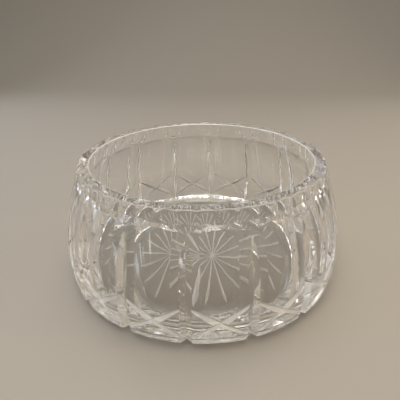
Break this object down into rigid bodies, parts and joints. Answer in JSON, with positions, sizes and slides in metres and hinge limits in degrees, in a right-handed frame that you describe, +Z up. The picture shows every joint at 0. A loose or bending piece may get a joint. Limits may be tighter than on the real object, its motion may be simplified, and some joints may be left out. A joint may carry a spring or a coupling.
{
  "type": "cut crystal bowl",
  "caption": "Heavy round crystal bowl with a barrel-shaped wall, hollow-cut panels between upright mitre grooves, short flutes round the rim, a band of diagonal crosses and a star cut under the base.",
  "frame": {"origin": "centre of the flat face that the bowl rests on", "axes": "+Z up along the bowl's axis of turning, +X and -Y each through an upright groove"},
  "size_m": [0.2096, 0.2096, 0.094],
  "materials": {
    "crystal": "polished"
  },
  "bodies": {
    "root": {"bowl": "crystal"}
  },
  "joints": []
}
